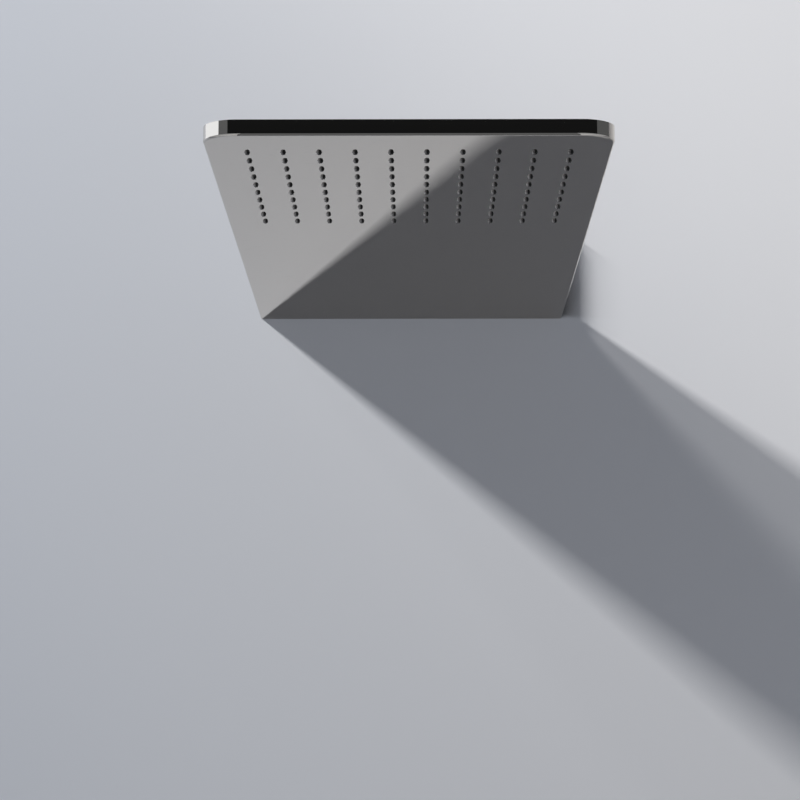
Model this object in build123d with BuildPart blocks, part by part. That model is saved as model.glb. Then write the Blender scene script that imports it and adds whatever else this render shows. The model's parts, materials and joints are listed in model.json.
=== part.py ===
from build123d import *
import math
import os

# Rain shower panel: a flat polished panel that stands out from a wall, with silicone nozzles near its front.
# Millimetres, +Z up. The wall is the plane Y = 0 and the panel reaches out along -Y.
# The origin is where the axis of the water inlet meets the wall.

# Panel body
panel_width = 200.0
panel_depth = 500.0
panel_height = 8.0
corner_radius = 17.0
edge_radius = 1.2
face_sheet = 1.0
lid_sheet = 1.0
lid_gap = 0.1

# Nozzle field
nozzle_pitch = 17.7
nozzle_rows = 10
first_row = 34.0
field_margin = 20.0
nozzle_root_radius = 1.8
nozzle_tip_radius = 1.0
nozzle_reach = 1.25
nozzle_gap = 0.05
nozzle_sides = 8
outlet_radius = 0.45
outlet_sides = 3

# Water chamber
mat_thickness = 1.2
pan_sheet = 0.8
pan_corner = 5.0
chamber_margin = 5.5
flange_width = 7.0
stack_gap = 0.1
spreader_wings = 10.0
spreader_flange = 6.0
spreader_gap = 1.0

# Feed duct and its rests
duct_width = 60.0
duct_wall = 0.5
duct_gap = 0.1
duct_inset = 2.0
duct_engagement = 10.0
rest_count = 2
rest_length = 12.0
rest_cheek = 6.0

# Side channels and front stiffener
channel_sheet = 0.8
channel_margin = 8.0
channel_gap = 4.0
channel_setback = 6.0
stiffener_width = 10.0
stiffener_clearance = 3.0

# Wall cover
cover_height = 53.0
cover_depth = 10.0
cover_sheet = 1.0
cover_bend = 1.5

# Wall bracket
arm_length = 120.0
arm_gap = 0.6
arm_recess = 1.0
cap_length = 20.0
cap_wall = 0.5
cap_gap = 0.05
bend_radius = 2.0
plate_drop = 4.0
wall_hole_radius = 2.75
wall_hole_inset = 16.0
wall_hole_rise = 12.0
notch_gap = 1.0
skirt_gap = 2.0
lid_setback = 1.0

# Inlet block
block_gap = 0.5
head_radius = 14.0
head_gap = 0.3
head_wall = 1.5
foot_width = 84.0
foot_length = 31.5
socket_radius = 8.15
drop_width = 12.0
drop_depth = 2.4
seal_width = 1.8
seal_height = 2.0
seal_gap = 0.05

# Inlet nipple
thread_radius = 10.478
thread_length = 14.0
spigot_gap = 0.1
nipple_bore_radius = 5.0
key_across_flats = 11.0
key_depth = 3.0

# Lock screws
screw_radius = 2.5
screw_key_across_flats = 2.5
screw_key_depth = 2.0
screw_hole_gap = 0.2
screw_recess = 0.3
thread_gap = 0.05
screw_row = 24.0

# Levels, from the underside up
underside = -(panel_height + cover_height / 2)
floor_top = underside + face_sheet
lid_top = underside + panel_height
lid_bottom = lid_top - lid_sheet
inner_height = lid_bottom - floor_top
mat_top = floor_top + mat_thickness
pan_top = lid_bottom - stack_gap
duct_bottom = mat_top + pan_sheet + duct_gap
duct_top = pan_top - pan_sheet - duct_gap
duct_height = duct_top - duct_bottom
duct_level = (duct_bottom + duct_top) / 2
arm_bottom = floor_top + channel_sheet + arm_gap
arm_top = lid_bottom - channel_sheet - arm_gap
bracket_plate = arm_top - arm_bottom
plate_skirt = lid_top + skirt_gap
plate_top = lid_top + cover_height - cover_sheet - plate_drop
wall_hole_low = lid_top + wall_hole_rise
wall_hole_high = plate_top - wall_hole_rise

# Nozzle field and chamber in plan
nozzle_columns = int((panel_width - 2 * field_margin) / nozzle_pitch) + 1
field_width = (nozzle_columns - 1) * nozzle_pitch
field_depth = (nozzle_rows - 1) * nozzle_pitch
field_y = -panel_depth + first_row + field_depth / 2
nozzle_length = face_sheet + nozzle_reach
nozzle_taper = math.degrees(math.atan((nozzle_root_radius - nozzle_tip_radius) / nozzle_length))
chamber_width = field_width + 2 * chamber_margin
chamber_depth = field_depth + 2 * chamber_margin
pan_width = chamber_width + 2 * pan_sheet
pan_depth = chamber_depth + 2 * pan_sheet
mat_width = pan_width + 2 * flange_width
mat_depth = pan_depth + 2 * flange_width

# Distances out from the wall
chamber_rear = -(field_y + chamber_depth / 2)
mat_rear = -(field_y + mat_depth / 2)
lid_rear = bracket_plate + lid_setback
head_depth = cover_depth - cover_sheet - head_gap - block_gap
head_front = block_gap + head_depth
socket_depth = head_depth - head_wall
socket_floor = block_gap + socket_depth
spigot_length = socket_floor - drop_depth
foot_front = block_gap + foot_length
duct_start = foot_front - duct_engagement
duct_end = chamber_rear + duct_inset
channel_start = bracket_plate + bend_radius + channel_setback
channel_end = mat_rear - channel_gap

# Distances out from the middle
web_x = foot_width / 2 + channel_gap
channel_outer = panel_width / 2 - face_sheet - channel_margin
channel_width = channel_outer - web_x
arm_inner = web_x + channel_sheet + arm_gap
arm_outer = channel_outer - arm_recess
lock_x = (arm_inner + arm_outer) / 2
wall_hole_x = arm_outer - wall_hole_inset

os.makedirs("parts", exist_ok=True)


def panel_plan(inset, rear, level):
    """The panel in plan at a level, set in from its rim: rounded front corners, a straight rear edge."""
    front = panel_depth - inset
    with BuildSketch(Plane.XY.offset(level)) as plan:
        with Locations((0, -(front + rear) / 2)):
            Rectangle(panel_width - 2 * inset, front - rear)
        fillet(plan.vertices().group_by(Axis.Y)[0], corner_radius - inset)
    return plan.sketch


def chamber_plan(width, depth, corner, level):
    """A rectangle over the nozzle field at a level, with round corners where a corner radius is given."""
    with BuildSketch(Plane.XY.offset(level)) as plan:
        with Locations((0, field_y)):
            Rectangle(width, depth)
        if corner:
            fillet(plan.vertices(), corner)
    return plan.sketch


def duct_section(grow, distance):
    """The duct's flat outline, grown all round, on a plane that lies a distance out from the wall."""
    with BuildSketch(Plane.XZ.offset(distance)) as section:
        with Locations((0, duct_level)):
            Rectangle(duct_width + 2 * grow, duct_height + 2 * grow)
    return section.sketch


def head_section(grow, distance, foot_level):
    """The inlet block's head seen from the wall: round about the inlet axis, straight down to a level."""
    radius = head_radius + grow
    with BuildSketch(Plane.XZ.offset(distance)) as section:
        Circle(radius)
        with Locations((0, foot_level / 2)):
            Rectangle(2 * radius, -foot_level)
    return section.sketch


def nozzle_cone(grow):
    """A tapered peg from the floor of the tray down to the nozzle's tip, grown all round."""
    with BuildPart() as cone:
        with BuildSketch():
            RegularPolygon(nozzle_root_radius + grow, nozzle_sides, major_radius=False)
        extrude(amount=-nozzle_length)
        draft(cone.faces().filter_by(Axis.Z, reverse=True), Plane.XY, -nozzle_taper)
    return cone.part


def field_spots():
    """The grid of nozzle places, about the middle of the field."""
    return GridLocations(nozzle_pitch, nozzle_pitch, nozzle_columns, nozzle_rows)


lock_spots = [(-lock_x, -screw_row), (lock_x, -screw_row)]

# Face tray: mirror underside, soft lower edge, low rim on three sides, open towards the wall
with BuildPart() as face_tray:
    extrude(panel_plan(0, 0, underside), amount=panel_height)
    lower_edges = face_tray.faces().sort_by(Axis.Z)[0].edges()
    fillet(lower_edges.sort_by(Axis.Y)[:-1], edge_radius)
    extrude(panel_plan(face_sheet, 0, floor_top), amount=panel_height, mode=Mode.SUBTRACT)
    with Locations((0, field_y, floor_top)):
        with field_spots():
            add(nozzle_cone(nozzle_gap), mode=Mode.SUBTRACT)
face_tray.part.label = "face_tray"
export_step(face_tray.part, "parts/face_tray.step")

# Nozzle mat: one silicone sheet on the tray's floor, with a pierced nozzle through every hole
with BuildPart() as nozzle_mat:
    extrude(chamber_plan(mat_width, mat_depth, 0, floor_top), amount=mat_thickness)
    with Locations((0, field_y, floor_top)):
        with field_spots():
            add(nozzle_cone(0))
    with BuildSketch(Plane.XY.offset(mat_top)):
        with Locations((0, field_y)):
            with field_spots():
                RegularPolygon(outlet_radius, outlet_sides, rotation=90)
    extrude(amount=-(mat_thickness + nozzle_length), mode=Mode.SUBTRACT)
nozzle_mat.part.label = "nozzle_mat"
export_step(nozzle_mat.part, "parts/nozzle_mat.step")

# Chamber cover: shallow pan whose flange presses the mat's rim on the tray, with a port for the duct
with BuildPart() as chamber_cover:
    pan_height = pan_top - mat_top
    extrude(chamber_plan(mat_width, mat_depth, 0, mat_top), amount=pan_sheet)
    extrude(chamber_plan(pan_width, pan_depth, pan_corner + pan_sheet, mat_top), amount=pan_height)
    extrude(
        chamber_plan(chamber_width, chamber_depth, pan_corner, mat_top),
        amount=pan_height - pan_sheet,
        mode=Mode.SUBTRACT,
    )
    extrude(duct_section(duct_gap, mat_rear), amount=flange_width + duct_inset, mode=Mode.SUBTRACT)
chamber_cover.part.label = "chamber_cover"
export_step(chamber_cover.part, "parts/chamber_cover.step")

# Feed duct: flat tube from the inlet block into the chamber
with BuildPart() as feed_duct:
    extrude(duct_section(0, duct_start), amount=duct_end - duct_start)
    extrude(duct_section(-duct_wall, duct_start), amount=duct_end - duct_start, mode=Mode.SUBTRACT)
feed_duct.part.label = "feed_duct"
export_step(feed_duct.part, "parts/feed_duct.step")

# Duct rests: moulded blocks between floor and lid that the duct passes through
for rest in range(1, rest_count + 1):
    rest_start = foot_front + rest * (mat_rear - foot_front) / (rest_count + 1) - rest_length / 2
    with BuildPart() as duct_rest:
        with BuildSketch(Plane.XZ.offset(rest_start)):
            with Locations((0, (floor_top + lid_bottom) / 2)):
                Rectangle(duct_width + 2 * rest_cheek, inner_height)
        extrude(amount=rest_length)
        extrude(duct_section(duct_gap, rest_start), amount=rest_length, mode=Mode.SUBTRACT)
    duct_rest.part.label = f"duct_rest_{rest}"
    export_step(duct_rest.part, f"parts/duct_rest_{rest}.step")

# Spreader: folded strip under the chamber's roof that turns the water from the duct to both sides
with BuildPart() as spreader:
    spreader_roof = pan_top - pan_sheet
    spreader_y = field_y + field_depth / 2 - nozzle_pitch / 2
    with BuildSketch(Plane.XY.offset(spreader_roof)):
        with Locations((0, spreader_y - spreader_flange / 2)):
            Rectangle(duct_width + 2 * spreader_wings, spreader_flange)
    extrude(amount=-pan_sheet)
    with BuildSketch(Plane.XY.offset(spreader_roof)):
        with Locations((0, spreader_y - pan_sheet / 2)):
            Rectangle(duct_width + 2 * spreader_wings, pan_sheet)
    extrude(amount=mat_top + spreader_gap - spreader_roof)
spreader.part.label = "spreader"
export_step(spreader.part, "parts/spreader.step")

# Side channels: folded sheet between floor and lid, open to the side, that the bracket's arms slide into
with BuildPart() as channel_right:
    with BuildSketch(Plane.XZ.offset(channel_start)):
        with Locations((web_x + channel_width / 2, (floor_top + lid_bottom) / 2)):
            Rectangle(channel_width, inner_height)
        with Locations((web_x + channel_sheet + channel_width / 2, (floor_top + lid_bottom) / 2)):
            Rectangle(channel_width, inner_height - 2 * channel_sheet, mode=Mode.SUBTRACT)
    extrude(amount=channel_end - channel_start)
    with BuildSketch(Plane.XY.offset(lid_bottom)):
        with Locations(lock_spots[1]):
            Rectangle(2 * (screw_radius + screw_hole_gap), 2 * (screw_radius + screw_hole_gap))
    extrude(amount=-channel_sheet, mode=Mode.SUBTRACT)
channel_right.part.label = "channel_right"
export_step(channel_right.part, "parts/channel_right.step")

with BuildPart() as channel_left:
    mirror(channel_right.part, about=Plane.YZ)
channel_left.part.label = "channel_left"
export_step(channel_left.part, "parts/channel_left.step")

# Front stiffener: folded sheet between floor and lid, ahead of the chamber
with BuildPart() as front_stiffener:
    stiffener_y = (field_y - mat_depth / 2 - panel_depth + face_sheet) / 2
    with BuildSketch(Plane.YZ):
        with Locations((stiffener_y, (floor_top + lid_bottom) / 2)):
            Rectangle(stiffener_width, inner_height)
        with Locations((stiffener_y + channel_sheet, (floor_top + lid_bottom) / 2)):
            Rectangle(stiffener_width, inner_height - 2 * channel_sheet, mode=Mode.SUBTRACT)
    extrude(amount=panel_width / 2 - corner_radius - stiffener_clearance, both=True)
front_stiffener.part.label = "front_stiffener"
export_step(front_stiffener.part, "parts/front_stiffener.step")

# Top sheet: let into the rim, notched at the wall for the block's head, with holes over the lock screws
with BuildPart() as top_sheet:
    extrude(panel_plan(face_sheet + lid_gap, lid_rear, lid_bottom), amount=lid_sheet)
    with BuildSketch(Plane.XY.offset(lid_bottom)):
        with Locations((0, -head_front / 2)):
            Rectangle(2 * (head_radius + notch_gap), head_front + notch_gap)
        with Locations(lock_spots):
            Circle(screw_radius + screw_hole_gap)
    extrude(amount=lid_sheet, mode=Mode.SUBTRACT)
top_sheet.part.label = "top_sheet"
export_step(top_sheet.part, "parts/top_sheet.step")

# Inlet block: round head with the spigot's socket, a drop inside it, and a flat foot that takes the duct
with BuildPart() as inlet_block:
    with BuildSketch(Plane.XY.offset(floor_top)):
        with Locations((0, -(block_gap + foot_front) / 2)):
            Rectangle(foot_width, foot_length)
    extrude(amount=inner_height)
    extrude(head_section(0, block_gap, lid_bottom), amount=head_depth)
    with BuildSketch(Plane.XZ.offset(block_gap)):
        Circle(socket_radius)
    extrude(amount=socket_depth, mode=Mode.SUBTRACT)
    with BuildSketch(Plane.XZ.offset(block_gap)):
        Circle(socket_radius + seal_width)
    extrude(amount=seal_height, mode=Mode.SUBTRACT)
    with BuildSketch(Plane.XY.offset(duct_bottom + duct_wall)):
        with Locations((0, -(socket_floor - drop_depth / 2))):
            Rectangle(drop_width, drop_depth)
    extrude(amount=-(duct_bottom + duct_wall), mode=Mode.SUBTRACT)
    extrude(duct_section(-duct_wall, spigot_length), amount=foot_length, mode=Mode.SUBTRACT)
    extrude(duct_section(duct_gap, duct_start), amount=duct_engagement, mode=Mode.SUBTRACT)
inlet_block.part.label = "inlet_block"
export_step(inlet_block.part, "parts/inlet_block.step")

# Wall bracket: folded plate with the wall holes, a notch for the block and two arms into the channels
with BuildPart() as wall_bracket:
    with BuildSketch(Plane.YZ):
        with BuildLine():
            Polyline(
                (0, plate_top),
                (0, arm_bottom),
                (-arm_length, arm_bottom),
                (-arm_length, arm_top),
                (-bracket_plate, arm_top),
                (-bracket_plate, plate_top),
                close=True,
            )
        make_face()
    extrude(amount=arm_outer, both=True)
    folds = wall_bracket.edges().filter_by(Axis.X).group_by(Axis.Z)
    outer_fold = folds[0].sort_by(Axis.Y)[-1]
    inner_fold = folds[1].sort_by(Axis.Y)[-1]
    fillet(outer_fold, bend_radius + bracket_plate)
    fillet(inner_fold, bend_radius)
    with BuildSketch(Plane.XZ):
        with Locations((0, (arm_bottom + plate_skirt) / 2)):
            Rectangle(2 * arm_inner, plate_skirt - arm_bottom)
    extrude(amount=arm_length, mode=Mode.SUBTRACT)
    extrude(head_section(notch_gap, 0, plate_skirt), amount=bracket_plate, mode=Mode.SUBTRACT)
    with BuildSketch(Plane.XZ):
        for level in (wall_hole_low, wall_hole_high):
            with Locations((-wall_hole_x, level), (wall_hole_x, level)):
                Circle(wall_hole_radius)
    extrude(amount=bracket_plate, mode=Mode.SUBTRACT)
    with BuildSketch(Plane.XY.offset(arm_top)):
        with Locations(lock_spots):
            Circle(screw_radius)
    extrude(amount=-bracket_plate, mode=Mode.SUBTRACT)
wall_bracket.part.label = "wall_bracket"
export_step(wall_bracket.part, "parts/wall_bracket.step")

# Arm caps: moulded shoes on the ends of the arms, a sliding fit in the channels
with BuildPart() as arm_cap_right:
    cap_front = arm_length + cap_gap + cap_wall
    with BuildSketch(Plane.YZ.offset(arm_inner)):
        with Locations((cap_length / 2 - cap_front, (arm_bottom + arm_top) / 2)):
            Rectangle(cap_length, bracket_plate + 2 * (cap_gap + cap_wall))
        with Locations((cap_length / 2 - cap_front + cap_wall, (arm_bottom + arm_top) / 2)):
            Rectangle(cap_length, bracket_plate + 2 * cap_gap, mode=Mode.SUBTRACT)
    extrude(amount=arm_outer - arm_inner)
arm_cap_right.part.label = "arm_cap_right"
export_step(arm_cap_right.part, "parts/arm_cap_right.step")

with BuildPart() as arm_cap_left:
    mirror(arm_cap_right.part, about=Plane.YZ)
arm_cap_left.part.label = "arm_cap_left"
export_step(arm_cap_left.part, "parts/arm_cap_left.step")

# Wall cover: folded sheet over the bracket, closed in front, above and at the sides
with BuildPart() as wall_cover:
    with BuildSketch(Plane.XZ):
        with Locations((0, lid_top + cover_height / 2)):
            Rectangle(panel_width, cover_height)
    extrude(amount=cover_depth)
    fillet(wall_cover.faces().sort_by(Axis.Y)[0].edges().sort_by(Axis.Z)[1:], cover_bend)
    with BuildSketch(Plane.XZ):
        with Locations((0, lid_top + (cover_height - cover_sheet) / 2)):
            Rectangle(panel_width - 2 * cover_sheet, cover_height - cover_sheet)
    extrude(amount=cover_depth - cover_sheet, mode=Mode.SUBTRACT)
wall_cover.part.label = "wall_cover"
export_step(wall_cover.part, "parts/wall_cover.step")

# Inlet nipple: turned tube with the pipe thread behind the wall plane and a plain spigot in front of it
with BuildPart() as inlet_nipple:
    spigot_radius = socket_radius - spigot_gap
    with BuildSketch(Plane.XZ.offset(-thread_length)):
        Circle(thread_radius)
    extrude(amount=thread_length)
    with BuildSketch(Plane.XZ):
        Circle(spigot_radius)
    extrude(amount=spigot_length)
    with BuildSketch(Plane.XZ.offset(-thread_length)):
        Circle(nipple_bore_radius)
    extrude(amount=thread_length + spigot_length, mode=Mode.SUBTRACT)
    with BuildSketch(Plane.XZ.offset(spigot_length - key_depth)):
        RegularPolygon(key_across_flats / 2, 6, major_radius=False)
    extrude(amount=key_depth, mode=Mode.SUBTRACT)
inlet_nipple.part.label = "inlet_nipple"
export_step(inlet_nipple.part, "parts/inlet_nipple.step")

# Spigot seal: rubber ring in the mouth of the block's socket, round the spigot
with BuildPart() as spigot_seal:
    with BuildSketch(Plane.XZ.offset(block_gap + seal_gap)):
        Circle(socket_radius + seal_width - seal_gap)
        Circle(spigot_radius + seal_gap, mode=Mode.SUBTRACT)
    extrude(amount=seal_height - 2 * seal_gap)
spigot_seal.part.label = "spigot_seal"
export_step(spigot_seal.part, "parts/spigot_seal.step")

# Lock screws: headless screws in the bracket's arms, reached through the top sheet, that hold the panel on
with BuildPart() as lock_screw_right:
    screw_top = lid_top - screw_recess
    with BuildSketch(Plane.XY.offset(screw_top)):
        with Locations(lock_spots[1]):
            Circle(screw_radius - thread_gap)
            RegularPolygon(screw_key_across_flats / 2, 6, major_radius=False, mode=Mode.SUBTRACT)
    extrude(amount=-screw_key_depth)
    with BuildSketch(Plane.XY.offset(screw_top - screw_key_depth)):
        with Locations(lock_spots[1]):
            Circle(screw_radius - thread_gap)
    extrude(amount=arm_bottom - screw_top + screw_key_depth)
lock_screw_right.part.label = "lock_screw_right"
export_step(lock_screw_right.part, "parts/lock_screw_right.step")

with BuildPart() as lock_screw_left:
    mirror(lock_screw_right.part, about=Plane.YZ)
lock_screw_left.part.label = "lock_screw_left"
export_step(lock_screw_left.part, "parts/lock_screw_left.step")
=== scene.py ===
import json
import math

import bmesh
import bpy
import numpy as np
from mathutils import Matrix, Vector


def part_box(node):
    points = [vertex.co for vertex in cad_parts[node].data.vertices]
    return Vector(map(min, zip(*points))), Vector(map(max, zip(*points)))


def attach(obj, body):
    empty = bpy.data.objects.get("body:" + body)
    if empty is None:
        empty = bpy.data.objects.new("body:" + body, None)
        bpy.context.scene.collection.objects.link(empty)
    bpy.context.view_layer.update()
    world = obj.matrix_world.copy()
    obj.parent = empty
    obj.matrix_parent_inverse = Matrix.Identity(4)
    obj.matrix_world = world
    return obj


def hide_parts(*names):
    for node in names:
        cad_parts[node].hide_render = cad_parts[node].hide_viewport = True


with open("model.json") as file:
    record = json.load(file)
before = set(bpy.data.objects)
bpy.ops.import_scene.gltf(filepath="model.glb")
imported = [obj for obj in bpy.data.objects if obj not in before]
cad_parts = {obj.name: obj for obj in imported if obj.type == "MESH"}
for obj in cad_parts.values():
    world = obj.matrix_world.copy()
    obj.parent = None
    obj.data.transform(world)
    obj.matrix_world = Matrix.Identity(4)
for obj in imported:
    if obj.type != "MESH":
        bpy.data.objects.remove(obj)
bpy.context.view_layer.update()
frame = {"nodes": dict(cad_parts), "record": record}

# Rain shower panel, dressed. Metres, +Z up: the wall is the plane Y = 0 and the panel reaches out along -Y.

MM = 0.001

# Panel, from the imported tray
tray_low, tray_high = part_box("face_tray")
half_width = tray_high.x
panel_depth = -tray_low.y
underside = tray_low.z
rim_top = tray_high.z
corner_radius = 17.0 * MM
edge_radius = 1.2 * MM
edge_break = 0.06 * MM
sheet = 1.0 * MM
floor_top = underside + sheet

# Nozzle field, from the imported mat
mat_low, mat_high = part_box("nozzle_mat")
field_y = (mat_low.y + mat_high.y) / 2
nozzle_tip = mat_low.z
mat_top = mat_high.z
nozzle_pitch = 17.7 * MM
nozzle_rows = 10
root_radius = 1.85 * MM
tip_radius = 1.03 * MM
tip_round = 0.22 * MM
nozzle_gap = 0.05 * MM
outlet_radius = 0.45 * MM
outlet_break = 0.1 * MM

# How finely the surfaces are divided
cell_steps = 4
half_arc_steps = 12
edge_steps = 10
break_steps = 3
turn_steps = 96
pipe_thread_rows = 112
screw_thread_rows = 72

SEW_DISTANCE = 1e-6
SHARP_ANGLE = math.radians(32)


def quads(shape, first):
    """Corner numbers of every cell in a stack of grids, counted on from a first point."""
    number = first + np.arange(np.prod(shape)).reshape(shape)
    corners = [number[:, :-1, :-1], number[:, 1:, :-1], number[:, 1:, 1:], number[:, :-1, 1:]]
    return np.stack(corners, axis=-1).reshape(-1, 4)


def sew(name, patches):
    """One closed piece from grids of points whose borders coincide.

    A patch is rows by columns of points, with a leading axis where it is copied. Each cell is a face,
    borders that meet are merged, cells that shrink to a line drop out, and faces are turned outwards.
    """
    points = []
    faces = []
    first = 0
    for patch in patches:
        grid = np.asarray(patch, dtype=float)
        grid = grid.reshape((-1,) + grid.shape[-3:])
        faces.append(quads(grid.shape[:3], first))
        points.append(grid.reshape(-1, 3))
        first += len(points[-1])
    mesh = bpy.data.meshes.new(name)
    mesh.from_pydata(np.concatenate(points), [], np.concatenate(faces))
    work = bmesh.new()
    work.from_mesh(mesh)
    bmesh.ops.remove_doubles(work, verts=work.verts, dist=SEW_DISTANCE)
    bmesh.ops.dissolve_degenerate(work, edges=work.edges, dist=SEW_DISTANCE)
    bmesh.ops.recalc_face_normals(work, faces=work.faces)
    work.to_mesh(mesh)
    work.free()
    mesh.shade_smooth()
    mesh.set_sharp_from_angle(angle=SHARP_ANGLE)
    piece = bpy.data.objects.new(name, mesh)
    bpy.context.scene.collection.objects.link(piece)
    shading = piece.modifiers.new("flat faces stay flat", "WEIGHTED_NORMAL")
    shading.keep_sharp = True
    return piece


def at_level(plan, level):
    """Plan points lifted to a level: a column of heights is joined to the two plan columns."""
    height = np.broadcast_to(np.asarray(level, dtype=float), plan.shape[:-1])
    return np.concatenate([plan, height[..., np.newaxis]], axis=-1)


def rim_path(inset):
    """Panel outline set in from its rim, from the wall along the left side, round the front and back to the
    wall: straight runs joined by quarter circles about the two corner centres."""
    field_steps = nozzle_rows * cell_steps
    corner_x = half_width - corner_radius
    corner_y = corner_radius - panel_depth
    turn = np.linspace(0, math.pi / 2, 2 * half_arc_steps + 1)
    bend = corner_radius - inset
    side_y = np.linspace(0, corner_y, field_steps - half_arc_steps + 1)
    side = np.stack([np.full_like(side_y, inset - half_width), side_y], axis=-1)
    corner = np.stack([-corner_x - bend * np.cos(turn), corner_y - bend * np.sin(turn)], axis=-1)
    front_x = np.linspace(-corner_x, corner_x, field_steps - 2 * half_arc_steps + 1)
    front = np.stack([front_x, np.full_like(front_x, inset - panel_depth)], axis=-1)
    to_right = np.array([-1, 1])
    return np.concatenate(
        [side[:-1], corner, front[1:-1], corner[::-1] * to_right, side[-2::-1] * to_right]
    )


def wall_line(inset):
    """The panel's rear edge from right to left, as many steps as one side of the nozzle field."""
    line_x = np.linspace(half_width - inset, inset - half_width, nozzle_rows * cell_steps + 1)
    return np.stack([line_x, np.zeros_like(line_x)], axis=-1)


def panel_loop(inset):
    """Closed outline of the panel: the rim's path and then the rear edge."""
    return np.concatenate([rim_path(inset), wall_line(inset)[1:]])


def square_loop(half_x, half_y, steps):
    """Closed rectangle about its middle, from the rear left corner along the left side, each side in equal
    steps."""
    run = np.linspace(1, -1, steps + 1)
    edge = np.ones_like(run)
    left = np.stack([-edge, run], axis=-1)
    front = np.stack([-run, -edge], axis=-1)
    loop = np.concatenate([left, front[1:], -left[1:], -front[1:]])
    return loop * (half_x, half_y)


def field_loop():
    """Border of the square of nozzle cells, in the same steps as the panel's closed outline."""
    half_field = nozzle_rows * nozzle_pitch / 2
    return square_loop(half_field, half_field, nozzle_rows * cell_steps) + (0, field_y)


def field_centres():
    """Plan places of all nozzles: a square grid about the middle of the field."""
    place = (np.arange(nozzle_rows) - (nozzle_rows - 1) / 2) * nozzle_pitch
    across, along = np.meshgrid(place, place + field_y)
    return np.stack([across.ravel(), along.ravel()], axis=-1)[:, np.newaxis, :]


def nozzle_rings(profile):
    """Rings about every nozzle axis, one for each radius and level of a profile: a radius times the unit
    direction of the cell border, so that a ring faces its square cell point for point."""
    cell = square_loop(1, 1, cell_steps)
    direction = cell / np.linalg.norm(cell, axis=-1, keepdims=True)
    rings = [at_level(field_centres() + radius * direction, level) for radius, level in profile]
    return np.stack(rings, axis=1)


def pierced_field(radius, level):
    """The nozzle field as a flat plate: each cell runs from its square border in to a round hole."""
    cell = square_loop(nozzle_pitch / 2, nozzle_pitch / 2, cell_steps)
    border = at_level(field_centres() + cell, level)
    return np.concatenate([border[:, np.newaxis], nozzle_rings([(radius, level)])], axis=1)


def nozzle_radius(level):
    """Radius of a nozzle's tapered wall at a level: straight from root to tip."""
    return np.interp(level, [nozzle_tip, floor_top], [tip_radius, root_radius])


def rim_section():
    """Section of the tray's rim as insets and levels: soft lower edge, outer wall, broken top edges, inner
    wall. The edges are quarter circles."""
    turn = np.linspace(0, math.pi / 2, edge_steps + 1)
    lower = [edge_radius * (1 - np.sin(turn)), underside + edge_radius * (1 - np.cos(turn))]
    turn = np.linspace(0, math.pi / 2, break_steps + 1)
    outer = [edge_break * (1 - np.cos(turn)), rim_top - edge_break * (1 - np.sin(turn))]
    inner = [sheet - outer[0][::-1], outer[1][::-1]]
    foot = [np.array([sheet]), np.array([floor_top])]
    return np.concatenate([lower, outer, inner, foot], axis=1).T


def face_tray_piece():
    """Face tray: the rim's section carried along the panel outline, with flat plates below and inside that
    run from the rim to the pierced field, tapered hole walls, and flat cut ends at the wall."""
    section = rim_section()
    rim = np.stack([at_level(rim_path(inset), level) for inset, level in section])
    below = [at_level(panel_loop(edge_radius), underside), at_level(field_loop(), underside)]
    inside = [at_level(field_loop(), floor_top), at_level(panel_loop(sheet), floor_top)]
    mouth = nozzle_radius(underside) + nozzle_gap
    throat = nozzle_radius(floor_top) + nozzle_gap
    rear = [at_level(wall_line(edge_radius), underside), at_level(wall_line(sheet), floor_top)]
    cut_ends = [np.stack([np.broadcast_to(rim[-1, end], rim[:, end].shape), rim[:, end]]) for end in (0, -1)]
    return sew("face_tray_polished", [
        rim,
        np.stack(below),
        np.stack(inside),
        pierced_field(mouth, underside),
        pierced_field(throat, floor_top),
        nozzle_rings([(mouth, underside), (throat, floor_top)]),
        np.stack(rear),
        *cut_ends,
    ])


def nozzle_mat_piece():
    """Nozzle mat: a flat slab with the pierced field on both sides, and in every cell a tapered nozzle with a
    rounded tip and an outlet right through."""
    half_x = (mat_high.x - mat_low.x) / 2
    half_y = (mat_high.y - mat_low.y) / 2
    border = square_loop(half_x, half_y, nozzle_rows * cell_steps) + (0, field_y)
    shoulder = nozzle_tip + tip_round
    nozzle = [
        (root_radius, floor_top),
        (nozzle_radius(shoulder), shoulder),
        (tip_radius - tip_round / 3, nozzle_tip + tip_round / 3),
        (tip_radius - tip_round, nozzle_tip),
        (outlet_radius + outlet_break, nozzle_tip),
        (outlet_radius, nozzle_tip + outlet_break),
        (outlet_radius, mat_top),
    ]
    return sew("nozzle_mat_moulded", [
        np.stack([at_level(border, floor_top), at_level(field_loop(), floor_top)]),
        np.stack([at_level(border, mat_top), at_level(field_loop(), mat_top)]),
        np.stack([at_level(border, floor_top), at_level(border, mat_top)]),
        pierced_field(root_radius, floor_top),
        pierced_field(outlet_radius, mat_top),
        nozzle_rings(nozzle),
    ])


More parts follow.
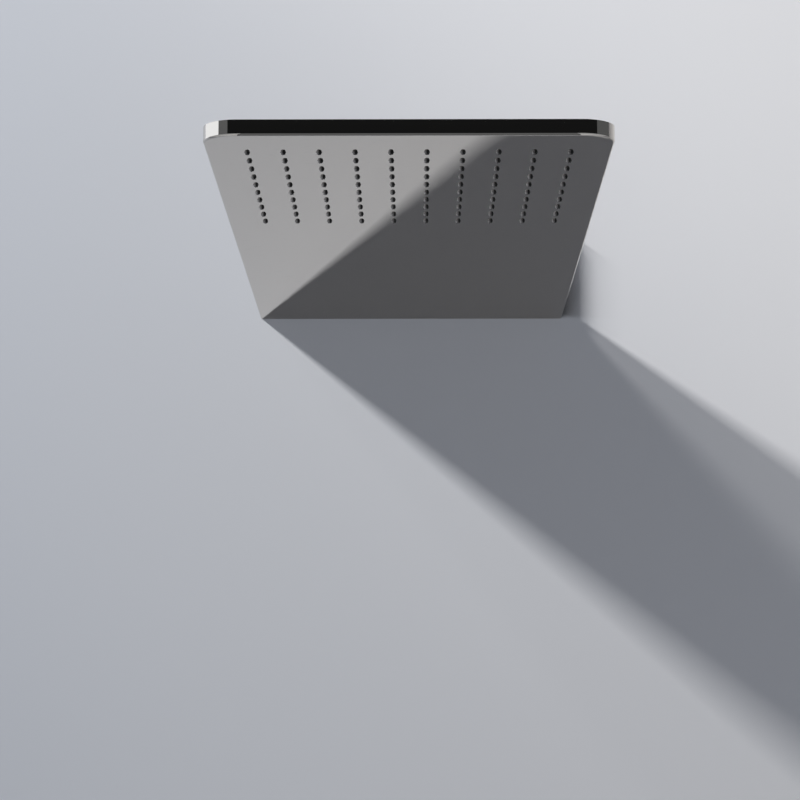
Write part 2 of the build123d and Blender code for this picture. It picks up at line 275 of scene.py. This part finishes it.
def wall_cover_piece():
    """Wall cover: a folded section, flange, bend and front, carried up the left side, over the top and down
    the right with mitred corners, an inner skin one sheet further in, and flat cut edges behind and below."""
    low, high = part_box("wall_cover")
    bend = 1.5 * MM
    depth = -low.y
    turn = np.linspace(0, math.pi / 2, edge_steps + 1)
    inset = np.concatenate([[0.0], bend * (1 - np.cos(turn))])
    out = np.concatenate([[0.0], depth - bend * (1 - np.sin(turn))])

    def folded(inset, out):
        """The four corners of the fold at each inset and distance from the wall."""
        side = half_width - inset
        top = high.z - inset
        foot = np.full_like(inset, low.z)
        across = np.stack([-side, -side, side, side], axis=-1)
        up = np.stack([foot, top, top, foot], axis=-1)
        return np.stack([across, np.broadcast_to(-out[:, np.newaxis], across.shape), up], axis=-1)

    outer = folded(inset, out)
    inner = folded(np.full_like(inset, sheet), np.minimum(out, depth - sheet))
    front = outer[-1][[0, 1, 3, 2]].reshape(2, 2, 3)
    back = inner[-1][[0, 1, 3, 2]].reshape(2, 2, 3)
    lower_outer = np.concatenate([outer[:, 0], outer[::-1, 3]])
    lower_inner = np.concatenate([inner[:, 0], inner[::-1, 3]])
    return sew("wall_cover_folded", [
        outer,
        inner,
        front,
        back,
        np.stack([outer[0], inner[0]]),
        np.stack([lower_outer, lower_inner]),
    ])


def hexagon(across_flats, turn):
    """Radius of a hexagon in every direction: half its width over the cosine of the angle from the middle of
    the nearest flat."""
    sixth = math.pi / 3
    return across_flats / 2 / np.cos((turn + sixth / 2) % sixth - sixth / 2)


def thread_radius(along, turn, crest, pitch, depth, lead):
    """Radius of a screw thread at distances along its axis and angles about it: a triangle wave of the
    distance less the helix's rise, cut flat at root and crest, that fades into the root over a lead at both
    ends."""
    flat = 0.14
    wave = np.abs(2 * ((along / pitch - turn / (2 * math.pi)) % 1) - 1)
    tooth = np.clip((wave - flat) / (1 - 2 * flat), 0, 1)
    fade = np.clip(np.minimum(along - along[0], along[-1] - along) / lead, 0, 1)
    return crest - depth + depth * tooth * fade


def inlet_nipple_piece():
    """Inlet nipple: a tube turned about the Y axis, a radius for each place along it and each angle. It has a
    pipe thread behind the wall, and its bore ends in a hexagon for the key."""
    low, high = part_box("inlet_nipple")
    spigot = 8.05 * MM
    bore = 5.0 * MM
    chamfer = 0.5 * MM
    key_across = 11.0 * MM
    key_depth = 3.0 * MM
    turn = np.linspace(0, 2 * math.pi, turn_steps + 1)
    along = np.linspace(0, high.y, pipe_thread_rows)[:, np.newaxis]
    thread = thread_radius(along, turn, crest=high.x, pitch=1.814 * MM, depth=1.16 * MM, lead=1.6 * MM)
    ring = np.ones_like(turn)
    key = hexagon(key_across, turn)
    turned = [
        (bore * ring, high.y - chamfer),
        (bore * ring, low.y + key_depth),
        (key, low.y + key_depth),
        (key, low.y),
        ((spigot - chamfer) * ring, low.y),
        (spigot * ring, low.y + chamfer),
        (spigot * ring, 0.0),
    ]
    mouth = [((bore + chamfer) * ring, high.y), (bore * ring, high.y - chamfer)]
    radius = np.concatenate([[r for r, _ in turned], thread, [r for r, _ in mouth]])
    place = np.concatenate([[y for _, y in turned], along.ravel(), [y for _, y in mouth]])
    place = np.broadcast_to(place[:, np.newaxis], radius.shape)
    tube = np.stack([radius * np.cos(turn), place, radius * np.sin(turn)], axis=-1)
    return sew("inlet_nipple_threaded", [tube])


def lock_screw_piece(node):
    """Lock screw: a threaded pin turned about an upright axis, a radius for each place along it and each
    angle, with a hexagon socket that has a drilled floor."""
    low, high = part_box(node)
    crest = (high.x - low.x) / 2
    key_across = 2.5 * MM
    key_depth = 2.0 * MM
    drill_depth = 0.5 * MM
    centre = (low + high) / 2
    turn = np.linspace(0, 2 * math.pi, turn_steps // 2 + 1)
    along = np.linspace(low.z, high.z, screw_thread_rows)[:, np.newaxis]
    thread = thread_radius(along, turn, crest, pitch=0.8 * MM, depth=0.45 * MM, lead=0.5 * MM)
    key = hexagon(key_across, turn)
    nothing = np.zeros_like(turn)
    radius = np.concatenate([[nothing], thread, [key, key, nothing]])
    socket = [high.z, high.z - key_depth, high.z - key_depth - drill_depth]
    place = np.concatenate([[low.z], along.ravel(), socket])
    place = np.broadcast_to(place[:, np.newaxis], radius.shape)
    pin = np.stack([centre.x + radius * np.cos(turn), centre.y + radius * np.sin(turn), place], axis=-1)
    return sew(node + "_threaded", [pin])


def new_node(tree, kind, **settings):
    """A node of a kind, with the settings given."""
    made = tree.nodes.new(kind)
    for key, value in settings.items():
        setattr(made, key, value)
    return made


def fill(node, **values):
    """Sets a node's inputs by name, with underscores for spaces."""
    for key, value in values.items():
        node.inputs[key.replace("_", " ")].default_value = value
    return node


def feed(tree, target, source):
    """Links an output to an input, or sets the input where the source is a plain value."""
    if isinstance(source, bpy.types.NodeSocket):
        tree.links.new(source, target)
    else:
        target.default_value = source


def combine(tree, operation, *sources):
    """A Math node fed in order, and its result."""
    made = new_node(tree, "ShaderNodeMath", operation=operation)
    for target, source in zip(made.inputs, sources):
        feed(tree, target, source)
    return made.outputs[0]


def remap(tree, value, span, onto=(0.0, 1.0)):
    """A value mapped from one range onto another and held at its ends."""
    made = new_node(tree, "ShaderNodeMapRange")
    names = ("Value", "From Min", "From Max", "To Min", "To Max")
    for name, source in zip(names, (value, *span, *onto)):
        feed(tree, made.inputs[name], source)
    return made.outputs[0]


def blend(tree, share, first, second):
    """A mix of two colours, by the Mix node's colour sockets."""
    made = new_node(tree, "ShaderNodeMix", data_type="RGBA")
    feed(tree, made.inputs[0], share)
    feed(tree, made.inputs[6], (*first, 1.0))
    feed(tree, made.inputs[7], (*second, 1.0))
    return made.outputs[2]


def new_group(name, inputs, output):
    """An empty node group that reads a vector and named numbers: its tree, its readings and its output."""
    tree = bpy.data.node_groups.new(name, "ShaderNodeTree")
    new_socket = tree.interface.new_socket
    new_socket("Vector", in_out="INPUT", socket_type="NodeSocketVector")
    for socket, value in inputs.items():
        new_socket(socket, in_out="INPUT", socket_type="NodeSocketFloat").default_value = value
    new_socket(output, in_out="OUTPUT", socket_type="NodeSocketFloat")
    return tree, new_node(tree, "NodeGroupInput").outputs, new_node(tree, "NodeGroupOutput").inputs[output]


def hairline_group():
    """Hairlines: noise stretched along one axis and cut off so that only thin, broken lines are left."""
    tree, given, lines = new_group("hairlines", {"Scale": 900.0, "Stretch": 0.02, "Share": 0.62}, "Lines")
    squeeze = fill(new_node(tree, "ShaderNodeCombineXYZ"), X=1.0, Z=1.0)
    stretched = new_node(tree, "ShaderNodeVectorMath", operation="MULTIPLY")
    noise = fill(new_node(tree, "ShaderNodeTexNoise"), Detail=3.0, Roughness=0.6)
    feed(tree, squeeze.inputs["Y"], given["Stretch"])
    feed(tree, stretched.inputs[0], given["Vector"])
    feed(tree, stretched.inputs[1], squeeze.outputs[0])
    feed(tree, noise.inputs["Vector"], stretched.outputs[0])
    feed(tree, noise.inputs["Scale"], given["Scale"])
    feed(tree, lines, remap(tree, noise.outputs["Fac"], (given["Share"], 0.8)))
    return tree


def film_group():
    """Water film: two sizes of soft cloud, one for wiping and one for dried drops, as a value from 0 to 1."""
    tree, given, film = new_group("water_film", {"Wipe": 14.0, "Drops": 160.0}, "Film")
    wipe = fill(new_node(tree, "ShaderNodeTexNoise"), Detail=2.0, Distortion=0.4)
    drops = new_node(tree, "ShaderNodeTexVoronoi", feature="SMOOTH_F1")
    for texture, scale in ((wipe, "Wipe"), (drops, "Drops")):
        feed(tree, texture.inputs["Vector"], given["Vector"])
        feed(tree, texture.inputs["Scale"], given[scale])
    spots = remap(tree, drops.outputs["Distance"], (0.05, 0.25), (1.0, 0.0))
    feed(tree, film, combine(tree, "MULTIPLY", spots, wipe.outputs["Fac"]))
    return tree


hairlines = hairline_group()
water_film = film_group()


class Finish:
    """A material under construction: its tree, its shader and the object coordinates of its patterns."""

    def __init__(self, name, base_color, roughness, metallic=0.0, **sockets):
        self.material = bpy.data.materials.new(name)
        self.material.use_nodes = True
        self.tree = self.material.node_tree
        self.shader = self.tree.nodes["Principled BSDF"]
        self.place = new_node(self.tree, "ShaderNodeTexCoord").outputs["Object"]
        fill(self.shader, Base_Color=(*base_color, 1.0), Roughness=roughness, Metallic=metallic, **sockets)

    def texture(self, kind, output, settings=None, **inputs):
        """A texture on object coordinates, and the output asked for."""
        made = fill(new_node(self.tree, kind, **(settings or {})), **inputs)
        feed(self.tree, made.inputs["Vector"], self.place)
        return made.outputs[output]

    def group(self, pattern, output, turned=(0, 0, 0), **inputs):
        """A shared pattern, turned about the axes, and the output asked for."""
        turn = fill(new_node(self.tree, "ShaderNodeMapping"), Rotation=turned)
        made = fill(new_node(self.tree, "ShaderNodeGroup", node_tree=pattern), **inputs)
        feed(self.tree, turn.inputs["Vector"], self.place)
        feed(self.tree, made.inputs["Vector"], turn.outputs[0])
        return made.outputs[output]

    def rough(self, value, low, high):
        """Roughness that follows a pattern from 0 to 1."""
        feed(self.tree, self.shader.inputs["Roughness"], remap(self.tree, value, (0.0, 1.0), (low, high)))

    def colour(self, value, dark, light):
        """Colour that follows a pattern from 0 to 1."""
        feed(self.tree, self.shader.inputs["Base Color"], blend(self.tree, value, dark, light))

    def bump(self, value, height):
        """A fine relief of a pattern, of a height in metres."""
        made = fill(new_node(self.tree, "ShaderNodeBump"), Strength=1.0, Distance=height)
        feed(self.tree, made.inputs["Height"], value)
        feed(self.tree, self.shader.inputs["Normal"], made.outputs[0])


def polished_steel():
    """Mirror polished sheet: clear reflection, a trace of dried water, a few hairlines from wiping."""
    finish = Finish("polished_steel", (0.86, 0.82, 0.77), 0.03, metallic=1.0)
    film = finish.group(water_film, "Film")
    lines = finish.group(hairlines, "Lines", turned=(0, 0, 0.5), Scale=1400.0)
    finish.rough(combine(finish.tree, "ADD", film, lines), 0.02, 0.05)
    finish.colour(film, (0.87, 0.83, 0.78), (0.82, 0.785, 0.74))
    finish.bump(lines, 2e-8)
    return finish.material


def plain_steel():
    """Rolled sheet as it comes: grey, with rolling lines along the panel."""
    finish = Finish("plain_steel", (0.62, 0.62, 0.61), 0.35, metallic=1.0)
    lines = finish.group(hairlines, "Lines", Scale=700.0, Stretch=0.03, Share=0.3)
    cloud = finish.texture("ShaderNodeTexNoise", "Fac", Scale=35.0, Detail=3.0)
    finish.rough(lines, 0.28, 0.46)
    finish.colour(cloud, (0.57, 0.57, 0.56), (0.66, 0.66, 0.65))
    finish.bump(lines, 4e-6)
    return finish.material


def zinc_steel():
    """Zinc plated steel: bluish grey with a faint crystal pattern and a soft grain."""
    finish = Finish("zinc_steel", (0.66, 0.67, 0.68), 0.4, metallic=1.0)
    crystal = finish.texture("ShaderNodeTexVoronoi", "Color", Scale=190.0)
    shade = new_node(finish.tree, "ShaderNodeSeparateColor")
    feed(finish.tree, shade.inputs[0], crystal)
    grain = finish.texture("ShaderNodeTexNoise", "Fac", Scale=900.0, Detail=4.0)
    finish.rough(shade.outputs[0], 0.34, 0.44)
    finish.colour(shade.outputs[1], (0.61, 0.63, 0.65), (0.69, 0.70, 0.71))
    finish.bump(grain, 6e-6)
    return finish.material


def turned_brass():
    """Turned brass: warm yellow with tool rings about the inlet axis and a slight tarnish."""
    finish = Finish("turned_brass", (0.78, 0.60, 0.32), 0.25, metallic=1.0)
    rings = finish.texture(
        "ShaderNodeTexWave",
        "Fac",
        {"wave_type": "RINGS", "rings_direction": "Y"},
        Scale=900.0,
        Distortion=0.6,
    )
    tarnish = finish.texture("ShaderNodeTexNoise", "Fac", Scale=60.0, Detail=4.0)
    finish.rough(rings, 0.20, 0.34)
    finish.colour(tarnish, (0.66, 0.47, 0.22), (0.83, 0.66, 0.38))
    finish.bump(rings, 4e-6)
    return finish.material


def nozzle_silicone():
    """Dark silicone: satin skin with a fine mould grain and a faint bloom of lime."""
    finish = Finish("nozzle_silicone", (0.03, 0.03, 0.031), 0.42, Specular_IOR_Level=0.15)
    grain = finish.texture("ShaderNodeTexNoise", "Fac", Scale=2600.0, Detail=3.0)
    bloom = finish.texture("ShaderNodeTexNoise", "Fac", Scale=120.0, Detail=2.0)
    finish.rough(grain, 0.34, 0.50)
    finish.colour(bloom, (0.024, 0.024, 0.025), (0.04, 0.04, 0.041))
    finish.bump(grain, 1.2e-5)
    return finish.material


def moulded_plastic():
    """Moulded plastic: dark grey with the fine sparked grain of its mould."""
    finish = Finish("moulded_plastic", (0.12, 0.12, 0.13), 0.5)
    grain = finish.texture("ShaderNodeTexNoise", "Fac", Scale=1800.0, Detail=2.0)
    flow = finish.texture("ShaderNodeTexNoise", "Fac", Scale=40.0, Detail=2.0)
    finish.rough(grain, 0.42, 0.58)
    finish.colour(flow, (0.10, 0.10, 0.11), (0.14, 0.14, 0.15))
    finish.bump(grain, 2e-5)
    return finish.material


finishes = {
    "polished_steel": polished_steel(),
    "plain_steel": plain_steel(),
    "zinc_steel": zinc_steel(),
    "brass": turned_brass(),
    "silicone": nozzle_silicone(),
    "moulded_plastic": moulded_plastic(),
}


def dress(piece, material):
    """Gives a piece one material all over."""
    piece.data.materials.clear()
    piece.data.materials.append(material)


slot_of = {part["node"]: part["material_slot"] for part in frame["record"]["subparts"]}
for node_name, node_object in frame["nodes"].items():
    dress(node_object, finishes[slot_of[node_name]])

new_pieces = {
    "face_tray": face_tray_piece(),
    "nozzle_mat": nozzle_mat_piece(),
    "wall_cover": wall_cover_piece(),
    "inlet_nipple": inlet_nipple_piece(),
    "lock_screw_left": lock_screw_piece("lock_screw_left"),
    "lock_screw_right": lock_screw_piece("lock_screw_right"),
}
for node_name, piece in new_pieces.items():
    dress(piece, finishes[slot_of[node_name]])
    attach(piece, "root")
    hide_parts(node_name)

# Stage: a pale wall with an opening behind the panel, a pale floor, and cards that only polished faces show

wall_gap = 0.1 * MM
wall_reach = 4.0
floor_reach = 40.0
floor_level = -1.9
opening_inset = 0.5 * MM

# Painted shade on the wall in the corner beside the root: openness over which the lift and the colour come
# back
painted_shade_reach = 40 * MM
painted_shade_rise = 3 * MM
painted_shade_lift_openness = (0.80, 0.97)
painted_shade_openness = (0.55, 0.80)
darkest_painted_shade = 0.42


def upright_sheet(first, second, low, high):
    """Four corners of an upright sheet between two plan points, from a low to a high level."""
    return [(*first, low), (*second, low), (*second, high), (*first, high)]


def level_sheet(first, second, rear, height):
    """Four corners of a level sheet: its front edge joins two plan points, its sides run straight back."""
    return [(*first, height), (*second, height), (second[0], rear, height), (first[0], rear, height)]


def flat_stage(name, corners, material, faces=((0, 1, 2, 3),)):
    """A flat stage sheet through corners, its front on the side from which they run anticlockwise."""
    mesh = bpy.data.meshes.new(name)
    mesh.from_pydata(corners, [], faces)
    mesh.materials.append(material)
    sheet_object = bpy.data.objects.new(name, mesh)
    bpy.context.scene.collection.objects.link(sheet_object)
    return sheet_object


def mirror_share(tree, share):
    """A share for glossy rays that come from a polished face itself and not from a matt one."""
    path = new_node(tree, "ShaderNodeLightPath")
    first = combine(tree, "LESS_THAN", path.outputs["Diffuse Depth"], 0.5)
    glossy = combine(tree, "MULTIPLY", path.outputs["Is Glossy Ray"], share)
    return combine(tree, "MULTIPLY", first, glossy)


def seen_directly(tree, glossy_share):
    """How much of a pale lift a ray gets: camera and transmission rays all of it, mirrored rays a share."""
    path = new_node(tree, "ShaderNodeLightPath")
    direct = combine(tree, "MAXIMUM", path.outputs["Is Camera Ray"], path.outputs["Is Transmission Ray"])
    return combine(tree, "ADD", direct, mirror_share(tree, glossy_share))


def stage_paint(name, low, high, axis, span, lift, glossy_share):
    """Matt paint graded from a low to a high colour along an axis, with a pale lift. In corners above the
    underside, on the side away from the strip, ambient occlusion darkens the colour and cuts the lift:
    painted shade. The paint is clear from behind."""
    material = bpy.data.materials.new(name)
    material.use_nodes = True
    tree = material.node_tree
    paint = tree.nodes["Principled BSDF"]
    fill(paint, Roughness=1.0, Specular_IOR_Level=0.0, Emission_Color=(*lift, 1.0))
    axes = new_node(tree, "ShaderNodeSeparateXYZ")
    feed(tree, axes.inputs[0], new_node(tree, "ShaderNodeTexCoord").outputs["Object"])
    graded = blend(tree, remap(tree, axes.outputs[axis], span), low, high)

    # Painted shade: ambient occlusion darkens the colour and cuts the lift in corners, except below the
    # underside and on the strip's side
    below = remap(tree, axes.outputs["Z"], (underside, underside + painted_shade_rise), (1.0, 0.0))
    lit_side = remap(tree, axes.outputs["X"], (-half_width, 0.0), (1.0, 0.0))
    unshaded = combine(tree, "MAXIMUM", below, lit_side)
    openness = fill(new_node(tree, "ShaderNodeAmbientOcclusion"), Distance=painted_shade_reach).outputs["AO"]
    kept_lift = combine(tree, "MAXIMUM", remap(tree, openness, painted_shade_lift_openness), unshaded)
    painted_corner_shade = remap(tree, openness, painted_shade_openness, (darkest_painted_shade, 1.0))
    shaded = new_node(tree, "ShaderNodeVectorMath", operation="SCALE")
    feed(tree, shaded.inputs[0], graded)
    feed(tree, shaded.inputs["Scale"], combine(tree, "MAXIMUM", painted_corner_shade, unshaded))
    feed(tree, paint.inputs["Base Color"], shaded.outputs[0])
    lifted = combine(tree, "MULTIPLY", kept_lift, seen_directly(tree, glossy_share))
    feed(tree, paint.inputs["Emission Strength"], lifted)

    either = new_node(tree, "ShaderNodeMixShader")
    feed(tree, either.inputs[0], new_node(tree, "ShaderNodeNewGeometry").outputs["Backfacing"])
    feed(tree, either.inputs[1], paint.outputs[0])
    feed(tree, either.inputs[2], new_node(tree, "ShaderNodeBsdfTransparent").outputs[0])
    feed(tree, tree.nodes["Material Output"].inputs["Surface"], either.outputs[0])
    return material


# Wall paint: darker on the left and lighter on the right, painted light that stands in for more light falling
# on the right of the wall
wall_paint = stage_paint(
    "wall_paint",
    low=(0.545, 0.567, 0.608),
    high=(0.955, 0.945, 0.945),
    axis="X",
    span=(-0.30, 0.30),
    lift=(0.0935, 0.1005, 0.1155),
    glossy_share=0.1,
)
floor_paint = stage_paint(
    "floor_paint",
    low=(0.48, 0.49, 0.50),
    high=(0.52, 0.52, 0.53),
    axis="Y",
    span=(-3.0, 3.0),
    lift=(0.58, 0.59, 0.60),
    glossy_share=0.4,
)

# The wall is a ring of four faces, between its outer edge and the opening's
opening_half = half_width - opening_inset
opening_low = underside + opening_inset
opening_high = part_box("wall_cover")[1].z - opening_inset
wall_edge = upright_sheet((-wall_reach, wall_gap), (wall_reach, wall_gap), floor_level, wall_reach)
opening_edge = upright_sheet((-opening_half, wall_gap), (opening_half, wall_gap), opening_low, opening_high)
wall_faces = [(0, 1, 5, 4), (1, 2, 6, 5), (2, 3, 7, 6), (3, 0, 4, 7)]
flat_stage("wall", wall_edge + opening_edge, wall_paint, wall_faces)
floor_left = (-floor_reach, -floor_reach)
floor_right = (floor_reach, -floor_reach)
flat_stage("floor", level_sheet(floor_left, floor_right, floor_reach, floor_level), floor_paint)


def card(name, corners, tone):
    """A flat card glowing in one slightly cool tone that only mirrored rays see: a painted reflection in
    polished faces.
    """
    material = bpy.data.materials.new(name)
    material.use_nodes = True
    tree = material.node_tree
    tree.nodes.remove(tree.nodes["Principled BSDF"])
    glow = fill(new_node(tree, "ShaderNodeEmission"), Color=(0.96 * tone, tone, 1.05 * tone, 1.0))
    feed(tree, glow.inputs["Strength"], mirror_share(tree, 1.0))
    feed(tree, tree.nodes["Material Output"].inputs["Surface"], glow.outputs[0])
    sheet_object = flat_stage(name, corners, material)
    sheet_object.visible_camera = False
    sheet_object.visible_diffuse = False
    sheet_object.visible_shadow = False


# Glowing cards close round the front of the rim, seen only in its reflections as painted reflections: plan
# points in order, and the glow of each stretch between them

collar_points = [
    (-121.0, -471.3),
    (-118.5, -510.7),
    (-103.0, -524.9),
    (-83.0, -530.0),
    (83.0, -530.0),
    (115.5, -514.9),
    (124.8, -483.4),
]
collar_tones = [0.95, 0.11, 0.008, 0.008, 0.008, 0.09]
collar_high = -18.3 * MM
collar = [(x * MM, y * MM) for x, y in collar_points]
for number, tone in enumerate(collar_tones):
    card(f"card_{number}", upright_sheet(*collar[number:number + 2], underside, collar_high), tone)

# Two more glowing cards under the straight front stretch, for the painted reflection in the soft lower edge

foot_low = -42.0 * MM
foot_inset = 6.0 * MM
foot_rear = foot_inset - panel_depth
foot_tone = 0.11
foot_left, foot_right = collar[3:5]
card("card_low", upright_sheet(foot_left, foot_right, foot_low, underside), foot_tone)
card("card_below", level_sheet(foot_left, foot_right, foot_rear, foot_low), foot_tone)

# Light: a long strip square to the wall, up on the left, one spot for the wall and one for the nozzles, a
# lamp behind the wall for the rear, and a soft level world

strip_foot = Vector((-1.33, 0.0, 0.972))
strip_near = 0.34
strip_far = 1.16
strip_width = 0.125
strip_power = 39.0


def aimed(position, target, across):
    """Matrix that puts a lamp at a position, facing a target, with its long side along a direction."""
    back = (Vector(position) - Vector(target)).normalized()
    side = (Vector(across) - back * back.dot(Vector(across))).normalized()
    up = back.cross(side)
    turned = Matrix((side, up, back)).transposed()
    return Matrix.Translation(position) @ turned.to_4x4()


def hang_lamp(data, matrix):
    """Puts a lamp in its place."""
    lamp = bpy.data.objects.new(data.name, data)
    bpy.context.scene.collection.objects.link(lamp)
    lamp.matrix_world = matrix
    return lamp


def soft_lamp(name, position, target, across, length, width, power):
    """A rectangular lamp."""
    data = bpy.data.lights.new(name, "AREA")
    data.shape = "RECTANGLE"
    data.size = length
    data.size_y = width
    data.energy = power
    return hang_lamp(data, aimed(position, target, across))


def spot_lamp(name, position, target, cone, radius, power):
    """A lamp with a soft round beam, its cone given in degrees."""
    data = bpy.data.lights.new(name, "SPOT")
    data.spot_size = math.radians(cone)
    data.spot_blend = 1.0
    data.shadow_soft_size = radius
    data.energy = power
    return hang_lamp(data, aimed(position, target, (0, 1, 0)))


strip_middle = strip_foot - Vector((0, (strip_near + strip_far) / 2, 0))
strip_target = Vector((0, strip_middle.y, underside))
strip = soft_lamp(
    "strip",
    strip_middle,
    strip_target,
    across=(0, 1, 0),
    length=strip_far - strip_near,
    width=strip_width,
    power=strip_power,
)
wall_spot = spot_lamp(
    "wall_spot",
    (-1.0, -0.56, 1.24),
    (0.75, 0.0, -0.1),
    cone=34.0,
    radius=0.135,
    power=76.0,
)
nozzle_spot = spot_lamp(
    "nozzle_spot",
    (-0.75, -0.44, -0.25),
    (0.0, field_y, underside),
    cone=24.0,
    radius=0.05,
    power=150.0,
)
for lamp in (strip, wall_spot, nozzle_spot):
    lamp.visible_glossy = False
soft_lamp("behind", (0.9, 1.4, 1.0), (0, 0, 0), across=(1, 0, 0), length=0.8, width=0.8, power=12.0)

world = bpy.data.worlds.new("room")
bpy.context.scene.world = world
world.use_nodes = True
world_tree = world.node_tree
dim_tone = (0.096, 0.10, 0.112)
pale_tone = (0.78, 0.80, 0.83)
room_tone = blend(world_tree, seen_directly(world_tree, 1.0), dim_tone, pale_tone)
feed(world_tree, world_tree.nodes["Background"].inputs["Color"], room_tone)

# Camera: low in front of the panel, looking up at its underside

camera_place = (3.863 * MM, -1747.32 * MM, -346.62 * MM)
camera_pitch = 0.14632
camera_yaw = -0.00645
camera_lens = 120.07

camera_data = bpy.data.cameras.new("camera")
camera_data.sensor_width = 36.0
camera_data.lens = camera_lens
camera = bpy.data.objects.new("camera", camera_data)
camera.location = camera_place
camera.rotation_euler = (math.pi / 2 + camera_pitch, 0.0, -camera_yaw)
bpy.context.scene.collection.objects.link(camera)
bpy.context.scene.camera = camera

bpy.context.scene.view_settings.view_transform = "Standard"
